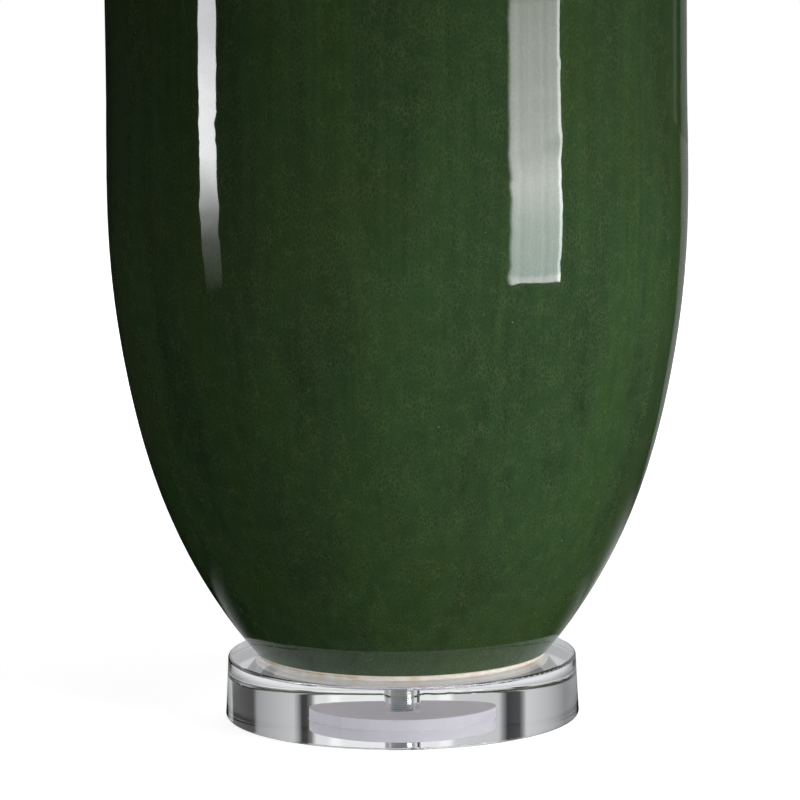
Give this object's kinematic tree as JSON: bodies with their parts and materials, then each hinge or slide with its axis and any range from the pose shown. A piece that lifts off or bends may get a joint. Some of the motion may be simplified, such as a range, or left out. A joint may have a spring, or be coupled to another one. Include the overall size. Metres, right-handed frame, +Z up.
{
  "type": "ginger jar table lamp",
  "caption": "Table lamp with a tall crackle-glazed ginger jar on a round clear acrylic foot, metal neck, harp, lampholder with rotary switch and a tapered drum shade.",
  "frame": {"origin": "centre of the acrylic foot's underside, on the table", "axes": "+Z up the lamp's axis, -Y towards the front, the cord inlet at +Y"},
  "size_m": [0.4077, 0.4076, 0.7715],
  "materials": {
    "clear_acrylic": "clear cast, polished",
    "crackle_glaze": "gloss glaze with a fine craquelure, bare bisque foot ring",
    "brushed_nickel": "brushed nickel plate",
    "zinc_steel": "bright zinc-plated steel",
    "bushing_rubber": "black moulded",
    "insulating_board": "vulcanised fibre",
    "moulded_phenolic": "black moulded",
    "contact_brass": "plain",
    "knob_plastic": "black moulded",
    "opal_glass": "soft white coating",
    "cap_aluminium": "threaded",
    "insulator_glass": "black",
    "tip_solder": "dull solder",
    "shade_linen": "off-white linen on a stiff backing",
    "frame_wire": "white baked enamel"
  },
  "bodies": {
    "root": {"acrylic_foot": "clear_acrylic", "foot_washer": "zinc_steel", "foot_nut": "zinc_steel", "lamp_pipe": "zinc_steel", "jar": "crackle_glaze", "cord_bushing": "bushing_rubber", "vase_cap": "brushed_nickel", "neck_stem": "brushed_nickel", "harp_saddle": "brushed_nickel", "saddle_nut": "zinc_steel", "socket_cap": "brushed_nickel", "socket_set_screw": "zinc_steel", "socket_shell": "brushed_nickel", "socket_liner": "insulating_board", "socket_block": "moulded_phenolic", "terminal_screws": "contact_brass", "screw_shell": "cap_aluminium", "centre_contact": "contact_brass"},
    "switch": {"switch_shaft": "contact_brass", "switch_knob": "knob_plastic"},
    "bulb": {"bulb_glass": "opal_glass", "bulb_cap": "cap_aluminium", "bulb_insulator": "insulator_glass", "bulb_tip": "tip_solder"},
    "harp": {"harp_wire": "brushed_nickel", "harp_stud": "brushed_nickel"},
    "sleeve_left": {"harp_sleeve_left": "brushed_nickel"},
    "sleeve_right": {"harp_sleeve_right": "brushed_nickel"},
    "shade": {"shade_spider": "frame_wire", "shade_top_ring": "frame_wire", "shade_panel": "shade_linen", "shade_bottom_ring": "frame_wire", "shade_top_hem": "shade_linen", "shade_bottom_hem": "shade_linen"},
    "finial": {"finial": "brushed_nickel"}
  },
  "joints": [
    {"name": "switch_turn", "type": "hinge", "parent": "root", "child": "switch", "pos_m": [0, -0.0215, 0.5077], "axis": [0, -1, 0], "continuous": true},
    {"name": "bulb_lift", "type": "slide", "parent": "root", "child": "bulb", "axis": [0, 0, 1], "range_m": [0, 0.026]},
    {"name": "harp_lift", "type": "slide", "parent": "root", "child": "harp", "axis": [0, 0, 1], "range_m": [0, 0.03]},
    {"name": "sleeve_left_lift", "type": "slide", "parent": "harp", "child": "sleeve_left", "axis": [0, 0, 1], "range_m": [0, 0.014]},
    {"name": "sleeve_right_lift", "type": "slide", "parent": "harp", "child": "sleeve_right", "axis": [0, 0, 1], "range_m": [0, 0.014]},
    {"name": "shade_turn", "type": "hinge", "parent": "harp", "child": "shade", "pos_m": [0, 0, 0.7341], "axis": [0, 0, 1], "continuous": true},
    {"name": "finial_turn", "type": "hinge", "parent": "harp", "child": "finial", "pos_m": [0, 0, 0.7357], "axis": [0, 0, 1], "continuous": true}
  ]
}
